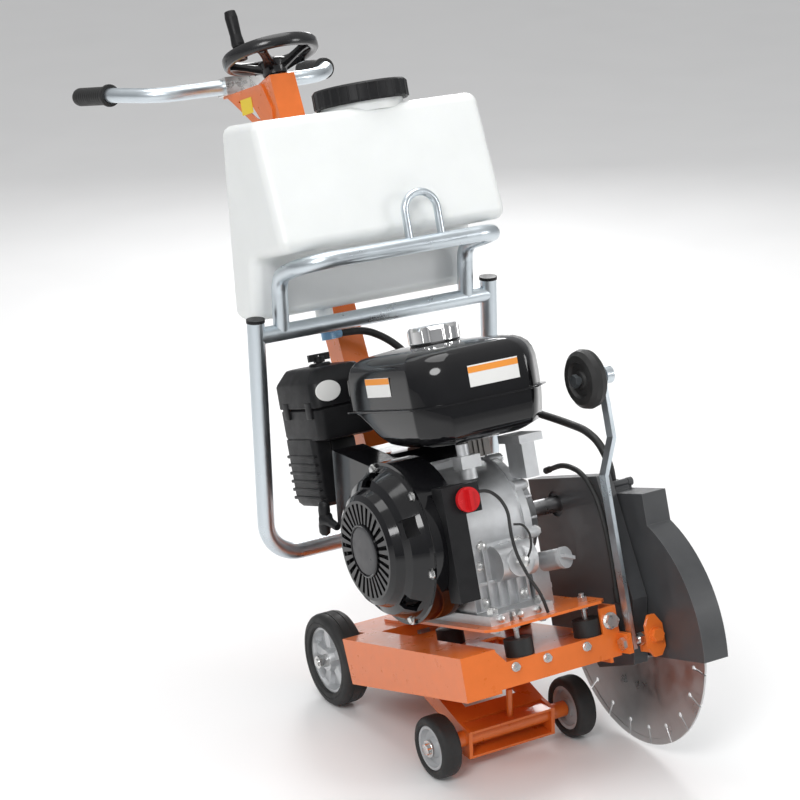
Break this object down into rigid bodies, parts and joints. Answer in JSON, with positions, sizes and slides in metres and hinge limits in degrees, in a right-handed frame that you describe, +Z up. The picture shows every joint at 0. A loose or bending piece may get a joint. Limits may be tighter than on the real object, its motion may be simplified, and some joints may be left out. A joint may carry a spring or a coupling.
{
  "type": "walk-behind concrete saw",
  "caption": "Push-along floor saw: pitched steel chassis on wheels, petrol engine, belt-driven side blade with guard, leaning column with depth handwheel, handlebar and water tank.",
  "frame": {"origin": "on the ground under the middle of the machine's length and width, as it stands on its four wheels with the blade raised", "axes": "+Z up; -Y forward, towards the blade and guide wheel; +X towards the side that carries the blade, which is the operator's left; the chassis is pitched nose-up by 16.7 degrees about X"},
  "size_m": [0.4636, 1.2644, 1.048],
  "materials": {
    "orange_paint": "gloss powder coat",
    "dark_grey_paint": "satin",
    "black_paint": "gloss",
    "zinc_tube": "satin zinc plate",
    "zinc_hardware": "zinc plate",
    "machined_steel": "machined",
    "cast_aluminium": "as cast",
    "cast_iron": "machined",
    "heat_guard": "satin",
    "chrome": "polished",
    "black_plastic": "satin",
    "black_rubber": "matt",
    "tyre_rubber": "matt",
    "tank_plastic": "translucent",
    "blue_plastic": "gloss",
    "red_plastic": "gloss",
    "wire_cover": "satin",
    "blade_steel": "ground"
  },
  "bodies": {
    "chassis": {"chassis_frame": "orange_paint", "column": "orange_paint", "engine_plate": "orange_paint", "guard_lug": "orange_paint", "belt_guard": "dark_grey_paint", "blade_guard": "dark_grey_paint", "fuel_tank": "black_paint", "recoil_cover": "black_paint", "fan_shroud": "black_paint", "handlebar": "zinc_tube", "lift_frame": "zinc_tube", "rear_axle": "zinc_hardware", "carrier_pivot_shaft": "zinc_hardware", "hex_bolts": "zinc_hardware", "handlebar_clamp": "zinc_hardware", "crankcase": "cast_aluminium", "crankcase_cover": "cast_aluminium", "cylinder": "cast_aluminium", "valve_cover": "cast_aluminium", "carburettor": "cast_aluminium", "fuel_cock": "cast_aluminium", "bearing_housing": "cast_iron", "muffler": "heat_guard", "tube_end_caps": "black_plastic", "air_cleaner_body": "black_plastic", "air_cleaner_lid": "black_plastic", "switch_box": "black_plastic", "handle_grips": "black_rubber", "rubber_mounts": "black_rubber", "water_hoses": "black_rubber", "v_belts": "black_rubber", "water_tank": "tank_plastic", "water_valve": "blue_plastic", "wiring": "wire_cover"},
    "rear_wheel_right": {"rear_wheel_right": "tyre_rubber"},
    "rear_wheel_left": {"rear_wheel_left": "tyre_rubber"},
    "carrier": {"front_carrier": "orange_paint"},
    "front_wheel_right": {"front_wheel_right": "tyre_rubber"},
    "front_wheel_left": {"front_wheel_left": "tyre_rubber"},
    "depth_screw": {"lead_screw": "machined_steel", "handwheel": "black_plastic"},
    "depth_nut": {"lead_nut": "machined_steel"},
    "crank_grip": {"crank_grip": "black_plastic"},
    "engine_crank": {"crankshaft": "machined_steel", "drive_pulley": "cast_iron", "flywheel": "cast_iron"},
    "blade_spindle": {"blade": "blade_steel", "blade_shaft": "machined_steel", "blade_flanges": "machined_steel", "driven_pulley": "cast_iron"},
    "guard_flap": {"blade_guard_flap": "dark_grey_paint"},
    "guide_arm": {"guide_arm": "zinc_tube"},
    "guide_wheel": {"guide_wheel": "black_rubber"},
    "tank_lid": {"water_tank_lid": "black_plastic"},
    "fuel_cap": {"fuel_cap": "chrome"},
    "oil_cap": {"oil_cap": "black_plastic"},
    "starter_grip": {"starter_grip": "black_plastic"},
    "engine_switch": {"engine_switch": "red_plastic"},
    "wing_nut": {"wing_nut": "black_plastic"},
    "valve_lever": {"valve_lever": "blue_plastic"}
  },
  "joints": [
    {"name": "rear_wheel_right_spin", "type": "hinge", "parent": "chassis", "child": "rear_wheel_right", "pos_m": [-0.128, -0.07072, 0.0745], "axis": [1, 0, 0], "continuous": true},
    {"name": "rear_wheel_left_spin", "type": "hinge", "parent": "chassis", "child": "rear_wheel_left", "pos_m": [0.128, -0.07072, 0.0745], "axis": [1, 0, 0], "continuous": true},
    {"name": "depth_handwheel_turn", "type": "hinge", "parent": "chassis", "child": "depth_screw", "pos_m": [0, 0.05595, 0.45411], "axis": [0, 0.454, 0.891], "range_deg": [0, 1558.7]},
    {"name": "carrier_tilt", "type": "hinge", "parent": "chassis", "child": "carrier", "pos_m": [0, -0.18432, 0.09605], "axis": [-1, 0, 0], "range_deg": [0, 28.2]},
    {"name": "depth_nut_travel", "type": "slide", "parent": "chassis", "child": "depth_nut", "axis": [0, -0.454, -0.891], "range_m": [0, 0.0265]},
    {"name": "crank_grip_spin", "type": "hinge", "parent": "depth_screw", "child": "crank_grip", "pos_m": [-0.062, 0.31585, 1.00825], "axis": [0, 0.454, 0.891], "continuous": true},
    {"name": "front_wheel_right_spin", "type": "hinge", "parent": "carrier", "child": "front_wheel_right", "pos_m": [-0.1195, -0.37115, 0.0475], "axis": [1, 0, 0], "continuous": true},
    {"name": "front_wheel_left_spin", "type": "hinge", "parent": "carrier", "child": "front_wheel_left", "pos_m": [0.1195, -0.37115, 0.0475], "axis": [1, 0, 0], "continuous": true},
    {"name": "engine_crank_spin", "type": "hinge", "parent": "chassis", "child": "engine_crank", "pos_m": [0, -0.29513, 0.34959], "axis": [1, 0, 0], "continuous": true},
    {"name": "blade_spindle_spin", "type": "hinge", "parent": "chassis", "child": "blade_spindle", "pos_m": [0.188, -0.43402, 0.18245], "axis": [1, 0, 0], "continuous": true},
    {"name": "guard_flap_lift", "type": "hinge", "parent": "chassis", "child": "guard_flap", "pos_m": [0.19, -0.39484, 0.40352], "axis": [-1, 0, 0], "range_deg": [0, 90]},
    {"name": "guide_arm_fold", "type": "hinge", "parent": "chassis", "child": "guide_arm", "pos_m": [0.129, -0.51199, 0.20793], "axis": [1, 0, 0], "range_deg": [0, 95]},
    {"name": "guide_wheel_spin", "type": "hinge", "parent": "guide_arm", "child": "guide_wheel", "pos_m": [0.1263, -0.40021, 0.58052], "axis": [1, 0, 0], "continuous": true},
    {"name": "tank_lid_turn", "type": "hinge", "parent": "chassis", "child": "tank_lid", "pos_m": [0.022, 0.05572, 0.93444], "axis": [0, 0.2874, 0.9578], "range_deg": [0, 300]},
    {"name": "fuel_cap_turn", "type": "hinge", "parent": "chassis", "child": "fuel_cap", "pos_m": [-0.006, -0.19715, 0.61357], "axis": [0, 0.2874, 0.9578], "range_deg": [0, 90]},
    {"name": "oil_cap_turn", "type": "hinge", "parent": "chassis", "child": "oil_cap", "pos_m": [0.0667, -0.42506, 0.32388], "axis": [0.3497, -0.8555, 0.3818], "range_deg": [0, 540]},
    {"name": "starter_pull", "type": "slide", "parent": "chassis", "child": "starter_grip", "axis": [-0.5499, 0.7546, 0.3581], "range_m": [0, 0.5], "stiffness_N_per_m": 30, "springref_m": -0.1},
    {"name": "engine_switch_turn", "type": "hinge", "parent": "chassis", "child": "engine_switch", "pos_m": [-0.084, -0.40902, 0.44327], "axis": [0, -0.9578, 0.2874], "range_deg": [0, 60]},
    {"name": "wing_nut_turn", "type": "hinge", "parent": "chassis", "child": "wing_nut", "pos_m": [-0.098, 0.00227, 0.54747], "axis": [0, 0.2874, 0.9578], "range_deg": [0, 1080]},
    {"name": "valve_lever_turn", "type": "hinge", "parent": "chassis", "child": "valve_lever", "pos_m": [-0.06, 0.02124, 0.58981], "axis": [0, 0.9578, -0.2874], "range_deg": [-90, 0]}
  ],
  "couplings": [
    {"joint": "carrier_tilt", "follows": "depth_handwheel_turn", "ratio": 0.017969},
    {"joint": "depth_nut_travel", "follows": "depth_handwheel_turn", "m_per_rad": 0.00095493},
    {"joint": "blade_spindle_spin", "follows": "engine_crank_spin", "ratio": 1.0698}
  ]
}
